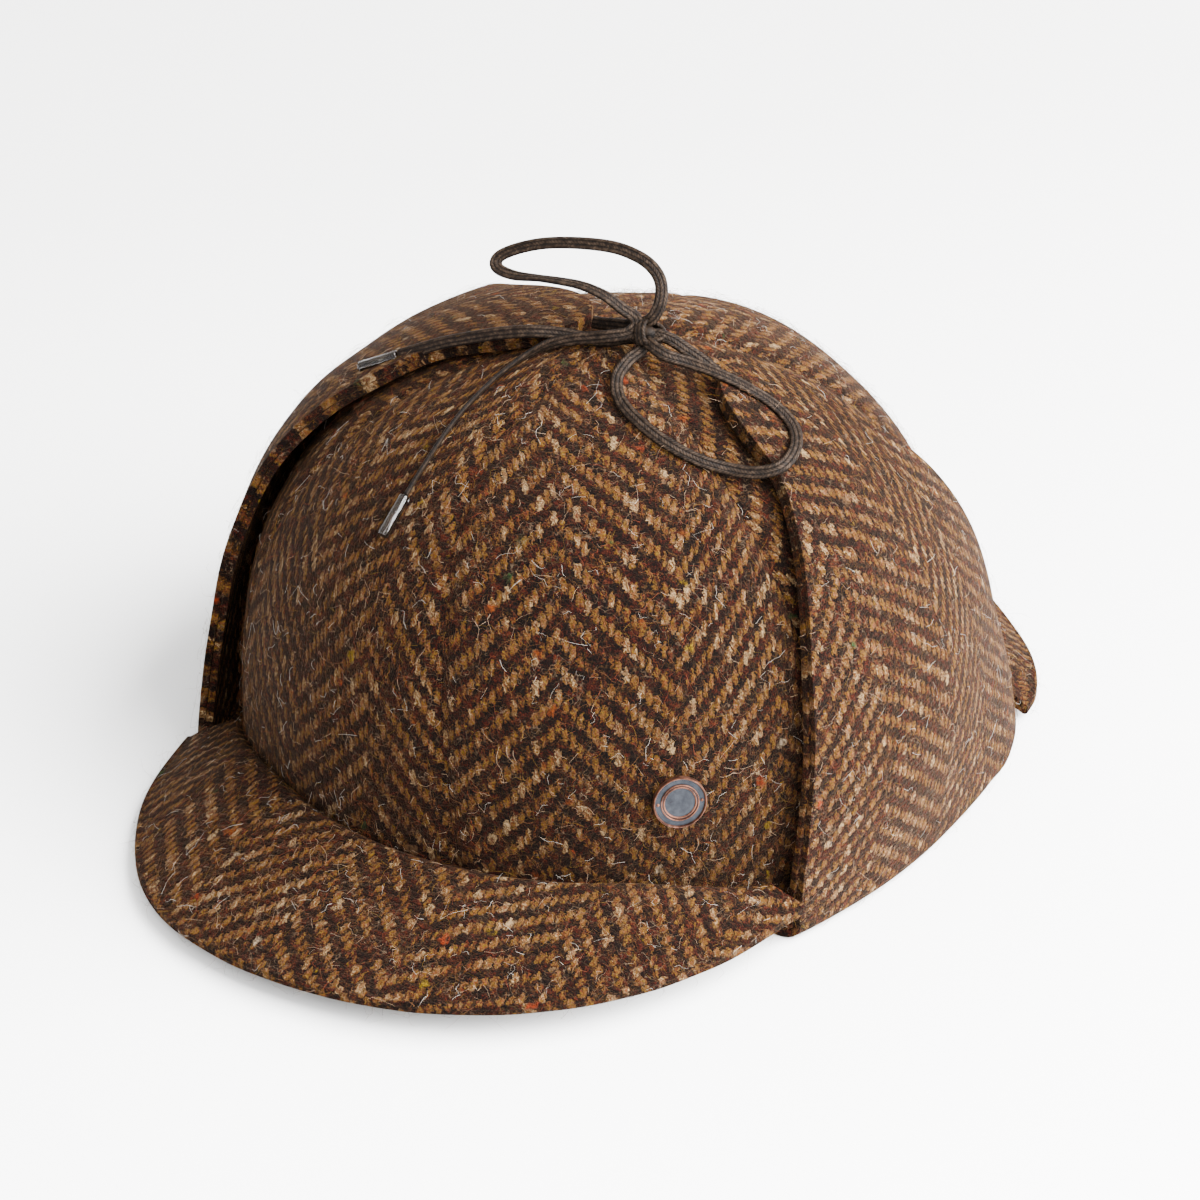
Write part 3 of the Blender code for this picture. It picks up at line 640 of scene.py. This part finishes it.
def threadsAcross(turn, rise, lines):
    # thread count from the nearest turning lines, in real spacing outside of them
    millimetre = np.interp(rise, profileRise, profileRadius) * meanRadius
    places = [(count, np.radians(np.interp(rise, [row[0] for row in table], [row[1] for row in table])))
              for count, table in lines]
    count, line = places[0]
    result = count + (turn - line) * millimetre / tweed["thread"]
    for (low, lowLine), (high, highLine) in zip(places, places[1:]):
        between = low + (turn - lowLine) / (highLine - lowLine) * (high - low)
        result = np.where(turn > lowLine, between, result)
        result = np.where(turn > highLine, high + (turn - highLine) * millimetre / tweed["thread"], result)
    return result


def panel(name, columns, rows, place, turnedOver=False):
    # a grid primitive laid on a surface; `place` gives points and thread counts
    bpy.ops.object.select_all(action="DESELECT")
    bpy.ops.mesh.primitive_grid_add(x_subdivisions=columns, y_subdivisions=rows, size=2)
    item = bpy.context.object
    item.name = name
    item.data.name = name
    flat = np.zeros(len(item.data.vertices) * 3)
    item.data.vertices.foreach_get("co", flat)
    shares = (flat.reshape(-1, 3)[:, :2] + 1) / 2
    points, threads = place(shares[:, 0], shares[:, 1])
    item.data.vertices.foreach_set("co", points.reshape(-1))
    corners = np.zeros(len(item.data.loops), int)
    item.data.loops.foreach_get("vertex_index", corners)
    layer = item.data.uv_layers[0]
    layer.name = "weave"
    layer.data.foreach_set("uv", threads[corners].reshape(-1))
    if turnedOver:
        item.data.flip_normals()
    item.data.update()
    return item


def thicken(item, thickness, rounding):
    wall = item.modifiers.new("cloth", "SOLIDIFY")
    wall.thickness, wall.offset = thickness, -1
    edge = item.modifiers.new("rolledEdge", "BEVEL")
    edge.width, edge.segments, edge.limit_method, edge.angle_limit = rounding, 3, "ANGLE", math.radians(55)
    applyModifiers(item)
    bpy.ops.object.shade_smooth_by_angle(angle=math.radians(60))


def goreAt(number, across, up):
    across = across - 0.6 * np.sin(2 * math.pi * across) / (2 * math.pi)
    guess = (seamTurn(number, up) + seamTurn(number + 1, up)) / 2
    for _ in range(3):
        bottom = np.interp(rimHeight(guess), profileHeight, profileRise)
        rise = bottom + (0.9985 - bottom) * up
        radius = np.interp(rise, profileRise, profileRadius) * crown["halfWidth"]
        trim = crown["seamGap"] / 2 / np.maximum(radius, 0.0004)
        start, end = seamTurn(number, rise) + trim, seamTurn(number + 1, rise) - trim
        guess = start + (end - start) * across
    fromSeam = np.minimum(across, 1 - across) * (end - start) * radius
    points = crownPoint(guess, rise)
    normals = crownNormal(points)
    tension = 1 + 0.25 * np.sin(rise * riseLength / 0.0009) * np.sin(rise * riseLength / 0.0047)
    dip = crown["seamDip"] * tension * np.exp(-(fromSeam / crown["seamWidth"]) ** 2) * ease(radius / 0.02)
    out = crown["lumps"] * lumps(points, crown["lumpSize"], number) * ease(fromSeam / 0.012) - dip
    fuller, middle, width, middleRise, riseWidth = crown["shoulder"]
    out = out + fuller * (np.exp(-((np.degrees(guess) - middle) / width) ** 2)
                          * np.exp(-((rise - middleRise) / riseWidth) ** 2))
    turned = guess - 2 * math.pi * (number == 5)
    threads = np.stack([threadsAcross(turned, rise, crown["turningLines"][goreNames[number]]),
                        rise * riseLength / tweed["thread"] + 1.3 * number], -1)
    return points + normals * out[:, None], threads


fuzzyPieces = []
for number, goreName in enumerate(goreNames):
    node = "crown_" + goreName
    name = "gore" + "".join(word.capitalize() for word in goreName.split("_"))
    gore = panel(name, crown["columns"], crown["rows"], lambda across, up: goreAt(number, across, up))
    thicken(gore, crown["cloth"], crown["rounding"])
    gore.data.materials.append(crownTweed)
    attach(gore, "root")
    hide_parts(node)
    hidden = goreName.startswith("side")
    fuzzyPieces.append((gore, fuzz["sideGores" if hidden else "crown"], "crown"))
print("Crown sewn")

# Peaks: two layers with rolled edges, wrapped as one closed skin
peak = {
    "cloth": 0.0045, "edgeCloth": 0.0030, "reach": 0.042, "droop": 1.35, "columns": 120,
    "topRows": 22, "noseRows": 12, "underRows": 8, "halfLength": 0.0587, "groove": 0.00055,
    "seamGap": 0.0004, "rootDip": 0.0017, "rootWidth": 0.0013, "lowestEdge": 0.0037,
    "lumps": 0.0003, "lumpSize": 0.02, "column": 0.0293, "thread": 0.0016,
    "sides": {
        "frontPeak": {"facing": 0.0, "middle": -5.5, "edge": 0.0078, "tilt": 0.0026, "sag": 0.0036,
                      "swell": ((-80, 0.9), (-62, 0.9), (-50, 0.91), (-38, 1.02), (-26, 1.10), (-13, 1.05),
                                (0, 1.01), (80, 1.0)),
                      "outline": ((0, 1.0), (8, 0.985), (15, 0.95), (25, 0.855), (35, 0.71), (45, 0.52),
                                  (54, 0.34), (62, 0.25), (75, 0.16))},
        "backPeak": {"facing": 180.0, "middle": 0.0, "edge": 0.0028, "tilt": 0.0, "sag": 0.0,
                     "swell": ((-80, 1.0), (0, 1.0), (80, 1.0)),
                     "outline": ((0, 1.0), (8, 0.975), (15, 0.91), (22, 0.80), (30, 0.68), (36, 0.64),
                                 (42, 0.622), (47, 0.595), (50, 0.56), (53, 0.50), (75, 0.2))},
    },
}


def peakAt(shape, across, around):
    gap = peak["seamGap"]
    halfTurn = math.acos(peak["halfLength"] / (crown["halfDepth"] + gap))
    turn = halfTurn * (2 * across - 1)
    height = seamHeight(turn)
    root = crownPoint(turn, np.interp(height, profileHeight, profileRise))
    root = root + crownNormal(root) * gap
    aimed = turn + (math.pi / 2 - halfTurn) * (turn / halfTurn) ** 3
    direction = np.stack([np.sin(aimed), -np.cos(aimed), np.zeros_like(aimed)], -1)
    outline = curveThrough(shape["outline"])
    reach = peak["reach"] * np.interp(abs(np.degrees(turn) - shape["middle"]), *outline)
    reach = reach * np.interp(np.degrees(turn), *curveThrough(shape["swell"]))
    edge = shape["edge"] + shape["tilt"] * turn / halfTurn + 0.0011
    edge = np.maximum(edge - shape["sag"] * ease((25 - np.degrees(turn)) / 70), peak["lowestEdge"])
    # once round the cross-section: top, rolled edge, underside
    rows = peak["topRows"] + peak["noseRows"] + peak["underRows"]
    row = around * rows
    nose = peak["edgeCloth"] / 2
    onTop = np.clip(row / peak["topRows"], 0, 1)
    onNose = np.clip((row - peak["topRows"]) / peak["noseRows"], 0, 1)
    under = np.clip((row - peak["topRows"] - peak["noseRows"]) / peak["underRows"], 0, 1)
    inward = np.minimum(nose / np.maximum(reach, 0.004), 0.3)
    out = np.where(under > 0, (1 - inward) * (1 - under), onTop * (1 - inward))
    thin = ease((out - 0.6) / 0.4)
    cloth = peak["cloth"] + (peak["edgeCloth"] - peak["cloth"]) * thin
    top = height + (edge - height) * out ** peak["droop"]
    top = top - peak["rootDip"] * np.exp(-(reach * out / peak["rootWidth"]) ** 2)
    angle = onNose * math.pi
    pinch = peak["groove"] * np.exp(-((onNose - 0.5) / 0.11) ** 2)
    level = np.where(under > 0, top - cloth, top - cloth / 2 + cloth / 2 * np.cos(angle))
    beyond = np.where(under > 0, 0.0, nose * np.sin(angle) - pinch)
    points = root + direction * (reach * out + beyond)[:, None]
    points[:, 2] = level
    bumps = lumps(points, peak["lumpSize"], 5 + shape["facing"])
    points[:, 2] += peak["lumps"] * bumps * ease(out * 4) * (1 - 0.5 * (under > 0))
    # column lines of the cloth run from front to back and fan out a little
    depth = points[:, 1] + 0.100
    fanned = (points[:, 0] - 0.19 * depth) / (1 - 2.5 * depth)
    threadsAlong = points[:, 1] + 0.10 * points[:, 0] - onNose * 0.004 + 0.004 * (under > 0)
    threads = np.stack([(fanned + 0.0125) / (peak["column"] / tweed["columnThreads"]),
                        threadsAlong / peak["thread"]], -1)
    turned = math.radians(shape["facing"])
    x = points[:, 0] * math.cos(turned) - points[:, 1] * math.sin(turned)
    y = points[:, 0] * math.sin(turned) + points[:, 1] * math.cos(turned)
    return np.stack([x, y, points[:, 2]], -1), threads


def closeSkin(item):
    pick(item)
    bpy.ops.object.mode_set(mode="EDIT")
    bpy.ops.mesh.select_all(action="DESELECT")
    bpy.ops.mesh.select_non_manifold(extend=False)
    bpy.ops.mesh.remove_doubles(threshold=0.00001)
    bpy.ops.mesh.select_all(action="DESELECT")
    bpy.ops.mesh.select_non_manifold(extend=False)
    bpy.ops.mesh.fill_holes(sides=0)
    bpy.ops.object.mode_set(mode="OBJECT")
    faceOutward(item)
    bpy.ops.object.shade_smooth_by_angle(angle=math.radians(60))


for name, shape in peak["sides"].items():
    rows = peak["topRows"] + peak["noseRows"] + peak["underRows"]
    piece = panel(name, peak["columns"], rows, lambda across, around: peakAt(shape, across, around))
    closeSkin(piece)
    piece.data.materials.append(peakTweed)
    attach(piece, "root")
    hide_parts("front_peak" if name == "frontPeak" else "back_peak")
    fuzzyPieces.append((piece, fuzz["peak"], "peak"))
print("Peaks sewn")

# Ear flaps: two layers each, folded up outside of the crown
flap = {
    "cloth": 0.0038, "halfWidth": 0.0583, "foldReach": 0.0048, "closesAt": 0.074,
    "foldRadius": 0.0042, "foldInside": 0.0012, "flareHeight": 0.040, "columns": 62, "rows": 92,
    "foldShare": 0.11,       # share of the rows that the fold takes
    "layer": 0.00185, "rounding": 0.0007, "lumps": 0.0005, "lumpSize": 0.035, "column": 0.0288,
    "outline": ((0.0, 1.0), (0.035, 1.0), (0.16, 0.973), (0.30, 0.921), (0.436, 0.84), (0.533, 0.752),
                (0.629, 0.625), (0.70, 0.505), (0.76, 0.395), (0.81, 0.315), (0.86, 0.275), (0.90, 0.245),
                (0.94, 0.20), (0.97, 0.14), (0.99, 0.075), (1.0, 0.0)),
    "flare": ((-1.0, 0.0), (-0.75, -0.44), (-0.5, -0.66), (-0.2, -0.70), (0.1, -0.48), (0.43, 0.2),
              (0.55, 0.62), (0.72, 0.95), (0.86, 1.12), (1.0, 1.2)),
    "sides": {
        "earFlapLeft": {"node": "ear_flap_left", "side": 1, "tipSwing": 74.6, "lean": 0.0, "tipShift": 0.0,
                        "lift": 0.0008, "rest": 0.0016, "belly": 0.0006, "frontFlare": 0.0},
        "earFlapRight": {"node": "ear_flap_right", "side": -1, "tipSwing": 89.0, "lean": 0.0085,
                         "tipShift": -0.003, "lift": 0.0004, "rest": 0.0008, "belly": 0.0032,
                         "frontFlare": 0.0036},
    },
}
flapOutline = curveThrough(flap["outline"])
flapFlare = curveThrough(flap["flare"])


def sidePoint(side, swing, along, out):
    width, depth, height = (crown[size] + out for size in ("halfWidth", "halfDepth", "height"))
    near, far = np.zeros_like(along), np.full_like(along, 0.3)
    for _ in range(40):
        reach = (near + far) / 2
        plan = np.hypot(reach * np.cos(swing) / width, along / depth)
        inside = plan ** crown["planPower"] + (reach * np.sin(swing) / height) ** crown["sidePower"] < 1
        near, far = np.where(inside, reach, near), np.where(inside, far, reach)
    return np.stack([side * near * np.cos(swing), along, near * np.sin(swing)], -1)


def flapAt(shape, level, across, up):
    across = (across - 0.45 * np.sin(2 * math.pi * across) / (2 * math.pi)) * 2 - 1
    foldShare = flap["foldShare"]
    share = np.clip((up - foldShare) / (1 - foldShare), 0, 1)
    share = 0.03 + 0.968 * (share + 0.06 * np.sin(math.pi * share))
    rising = up >= foldShare
    share = np.where(rising, share, 0.0)
    middle = shape["lean"] * np.sin(math.pi * share) ** 3 + shape["tipShift"] * share ** 4
    along = middle + across * flap["halfWidth"] * np.interp(share, *flapOutline)
    extra = flap["foldReach"] * np.interp(across, *flapFlare)
    extra = extra + shape["frontFlare"] * ease((-across - 0.55) / 0.45)
    startSwing = math.atan2(flap["foldRadius"], crown["halfWidth"])
    swing = startSwing + (math.radians(shape["tipSwing"]) - startSwing) * share
    insideHeight = sidePoint(shape["side"], swing, along, np.full_like(along, shape["rest"]))[:, 2]
    space = flap["foldReach"] + (shape["rest"] - flap["foldReach"]) * ease(insideHeight / flap["closesAt"])
    space = space + extra * (1 - ease(insideHeight / flap["flareHeight"]))
    space = space + shape["lift"] * ease(across) * np.sin(math.pi * share ** 3)
    space = space + shape["belly"] * np.sin(math.pi * share) ** 2
    wave = flap["lumps"] * ease(share * 5) * ease((1 - share) * 8)
    out = space + flap["cloth"] * level
    risen = sidePoint(shape["side"], swing, along, out)
    risen = risen + crownNormal(risen) * (wave * lumps(risen, flap["lumpSize"], 2 + shape["side"]))[:, None]
    # the fold: flat under the crown, then a quarter turn
    reach = flap["foldReach"] + extra
    folded = np.clip(up / foldShare, 0, 1)
    angle = np.clip((folded - 0.45) / 0.55, 0, 1) * math.pi / 2
    flatPart = np.clip(folded / 0.45, 0, 1)
    step, climb = 1 - np.sin(angle), 1 - np.cos(angle)
    outer = reach + flap["cloth"] - flap["foldRadius"] * step
    inner = reach - flap["foldInside"] * step
    outward = inner + (outer - inner) * level
    outward = np.where(flatPart < 1, -crown["cloth"] + (outward + crown["cloth"]) * flatPart, outward)
    height = ((1 - level) * (flap["cloth"] + flap["foldInside"] * climb) + level * flap["foldRadius"] * climb)
    laid = sidePoint(shape["side"], np.zeros_like(along), along, outward)
    laid[:, 2] = height
    points = np.where(rising[:, None], risen, laid)
    lean = 0.16 - 0.2 * ease(along / 0.025)
    climbed = np.where(rising, share * 0.165, (folded - 1) * 0.012)
    threads = np.stack([(along - lean * points[:, 2] + 0.0378) / (flap["column"] / tweed["columnThreads"]),
                        climbed / tweed["thread"]], -1)
    return points, threads


for name, shape in flap["sides"].items():
    layers = []
    for level, words in ((1.0, "Outer"), (0.5, "Inner")):
        layer = panel(name + words, flap["columns"], flap["rows"],
                      lambda across, up: flapAt(shape, level, across, up), shape["side"] < 0)
        thicken(layer, flap["layer"], flap["rounding"])
        layers.append(layer)
    pick(*layers)
    bpy.ops.object.join()
    piece = bpy.context.object
    piece.name = name
    piece.data.materials.clear()
    piece.data.materials.append(flapTweed)
    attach(piece, "root")
    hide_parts(shape["node"])
    fuzzyPieces.append((piece, fuzz["flap"], "flap"))
print("Ear flaps folded up")


def looseFibres(name, piece, count, seed):
    # thin curled hairs lying on the cloth, most along it, some standing up from it
    chance = np.random.default_rng(seed)
    mesh = piece.data
    total = len(mesh.polygons)
    area, centre, normal = np.zeros(total), np.zeros(total * 3), np.zeros(total * 3)
    mesh.polygons.foreach_get("area", area)
    mesh.polygons.foreach_get("center", centre)
    mesh.polygons.foreach_get("normal", normal)
    centre, normal = centre.reshape(-1, 3), normal.reshape(-1, 3)
    outside = (normal * unit(centre - np.array([0, 0, 0.03]))).sum(1) > 0.05
    if name.startswith("peak"):
        outside = normal[:, 2] > -0.6
    weight = area * outside * (centre[:, 2] > fuzz["bare"])
    chosen = chance.choice(total, count, p=weight / weight.sum())
    base, up = centre[chosen], normal[chosen]
    base = base + chance.normal(0, fuzz["scatter"], (count, 3))
    ahead = unit(np.cross(up, chance.normal(0, 1, (count, 3))))
    side = np.cross(up, ahead)
    length = chance.gamma(3.0, fuzz["length"], count) + fuzz["shortest"]
    stand = chance.gamma(1.4, fuzz["stand"], count)
    curl = chance.normal(0, fuzz["curl"], count) * length
    phase, waves = chance.uniform(0, 6.3, count), chance.uniform(2.5, 6.5, count)
    rings, sides = fuzz["rings"], fuzz["sides"]
    steps = np.linspace(0, 1, rings)
    spine = []
    for share in steps:
        spine.append(base + ahead * (length * (share + 0.10 * np.sin(share * waves * 1.3)))[:, None]
                     + up * (stand * np.sin(share * 2.6) + 0.0002 - 0.0004 * (share == 0))[:, None]
                     + side * (curl * (np.sin(share * waves + phase) - np.sin(phase)))[:, None])
    spine = np.array(spine)
    spine[..., 2] = np.maximum(spine[..., 2], fuzz["lowest"])
    verts = []
    for index, share in enumerate(steps):
        thick = fuzz["thick"] * (1.0 - 0.45 * share)
        for corner in range(sides):
            angle = corner * 2 * math.pi / sides
            verts.append(spine[index] + (side * math.cos(angle) + up * math.sin(angle)) * thick)
    verts = np.array(verts).transpose(1, 0, 2).reshape(-1, 3)
    one = []
    for ring in range(rings - 1):
        low, high = ring * sides, (ring + 1) * sides
        for corner in range(sides):
            following = (corner + 1) % sides
            one.append((low + corner, low + following, high + following, high + corner))
    faces = (np.array(one)[None] + (np.arange(count) * rings * sides)[:, None, None]).reshape(-1, 4)
    item = addMesh(name, verts.tolist(), [], faces.tolist())
    tint = item.data.attributes.new("tint", "FLOAT", "POINT")
    tint.data.foreach_set("value", np.repeat(chance.random(count), rings * sides).astype(np.float32))
    item.data.materials.append(looseWool)
    return item


for index, (piece, count, kind) in enumerate(fuzzyPieces):
    hairs = looseFibres(kind + "Fuzz" + piece.name[0].upper() + piece.name[1:], piece, count, 40 + index)
    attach(hairs, "root")
print("Loose wool raised")

# Badge: bare round field in two raised rings, with a small rivet on either side
badge = {"turn": 39.8, "height": 0.042, "gap": 0.0004, "steps": 72,
         # half section in mm: distance from the axis, height
         "profile": ((0.0, 1.05), (3.70, 1.05), (3.82, 1.30), (3.98, 1.36), (4.12, 1.30), (4.15, 1.04),
                     (4.38, 1.04), (4.42, 1.40), (4.55, 1.47), (4.70, 1.40), (4.76, 1.05), (6.02, 1.05),
                     (6.12, 1.38), (6.28, 1.62), (6.46, 1.58), (6.6, 1.28), (6.6, 0.15), (6.45, 0.0),
                     (0.0, 0.0)),
         "rivetPlace": 0.0054, "rivetHeight": 0.00108, "rivetSize": (0.00042, 0.00042, 0.00028),
         "fieldBelow": 0.0011}


def badgeMaterials():
    metal = {}
    for name, low, high, rough in (("agedCopper", (0.030, 0.012, 0.008), (0.13, 0.054, 0.033), 0.30),
                                   ("gunmetal", (0.013, 0.0145, 0.018), (0.026, 0.0285, 0.034), 0.40)):
        made, shader, start = newMaterial(name, {"Metallic": 0.9})
        place = start.node("TexCoord", output="Object")
        brushed = start.grain(place, 900.0, 4.0)
        cloudy = start.grain(place, 210.0, 2.0)
        feed(((brushed - 0.5) * 1.1 + cloudy).ramp(((0.30, low), (0.75, high))), shader, "Base Color")
        feed(rough + 0.25 * brushed, shader, "Roughness")
        feedBump(brushed, 0.35, 0.0001, shader)
        metal[name] = made
    return metal


seat = crownPoint(np.array(math.radians(badge["turn"])),
                  np.interp(badge["height"], profileHeight, profileRise))
seatNormal = Vector(crownNormal(seat))
disc = addMesh("badgeDisc", [(radius / 1000, 0, height / 1000) for radius, height in badge["profile"]],
               [(index, index + 1) for index in range(len(badge["profile"]) - 1)], [])
turnRound = disc.modifiers.new("turned", "SCREW")
turnRound.steps = turnRound.render_steps = badge["steps"]
turnRound.use_merge_vertices, turnRound.merge_threshold = True, 0.00001
applyModifiers(disc)
for side in (-1, 1):
    bpy.ops.mesh.primitive_uv_sphere_add(segments=14, ring_count=8, radius=1, scale=badge["rivetSize"],
                                         location=(side * badge["rivetPlace"], 0, badge["rivetHeight"]))
    rivet = bpy.context.object
    pick(disc, rivet)
    bpy.ops.object.join()
faceOutward(disc)
metals = badgeMaterials()
disc.data.materials.clear()
disc.data.materials.append(metals["agedCopper"])
disc.data.materials.append(metals["gunmetal"])
for polygon in disc.data.polygons:
    flatFace = polygon.normal.z > 0.9 and polygon.center.z < badge["fieldBelow"]
    polygon.material_index = 1 if flatFace else 0
bpy.ops.object.shade_smooth_by_angle(angle=math.radians(35))
disc.location = Vector(seat) + seatNormal * badge["gap"]
disc.rotation_euler = seatNormal.to_track_quat("Z", "Y").to_euler()
applyPlace(disc)
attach(disc, "root")
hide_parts("badge")
print("Badge pinned")

# Pale floor and soft studio light, stronger from the wearer's left
studio = {"floorSize": 8, "floorLevel": -0.0002, "floorLitNear": (0.99, 0.99, 0.99),
          "floorFar": (0.68, 0.676, 0.67),
          "world": (1.0, 0.998, 0.992), "worldStrength": 1.75,
          "keyPower": 580.0, "keySize": 1.9, "keyPlace": (1.40, 0.35, 1.20),
          "fillPower": 30.0, "fillSize": 1.2, "fillPlace": (0.75, -1.1, 1.1), "lightsAim": (0, 0, 0.05)}
bpy.ops.object.select_all(action="DESELECT")
bpy.ops.mesh.primitive_plane_add(size=studio["floorSize"], location=(0, 0, studio["floorLevel"]))
floor = bpy.context.object
floor.name = "studioFloor"
applyPlace(floor)
paper, shader, start = newMaterial("palePaper", {})
place = start.node("TexCoord", output="Object")
parts = place.split()
# painted light: the floor's colour fades from near white at the front to grey towards the back and the
# wearer's right, standing in for the light's falloff
depth = 0.5 + (parts.other("Y") - parts) * 0.9
feed(depth.ramp(((0.20, studio["floorLitNear"]), (0.95, studio["floorFar"]))), shader, "Base Color")
feed(0.7 + start.grain(place, 90.0) * 0.1, shader, "Roughness")
floor.data.materials.append(paper)
world = bpy.data.worlds.new("paleStudio")
world.use_nodes = True
world.node_tree.nodes["Background"].inputs["Color"].default_value = (*studio["world"], 1)
world.node_tree.nodes["Background"].inputs["Strength"].default_value = studio["worldStrength"]
bpy.context.scene.world = world
for name, power, size, where in (("keyLight", studio["keyPower"], studio["keySize"], studio["keyPlace"]),
                                 ("fillLight", studio["fillPower"], studio["fillSize"], studio["fillPlace"])):
    bpy.ops.object.light_add(type="AREA", location=where)
    light = bpy.context.object
    light.name = name
    light.data.energy = power
    light.data.size = size
    light.rotation_euler = (Vector(studio["lightsAim"]) - Vector(where)).to_track_quat("-Z", "Y").to_euler()
print("Studio lit")
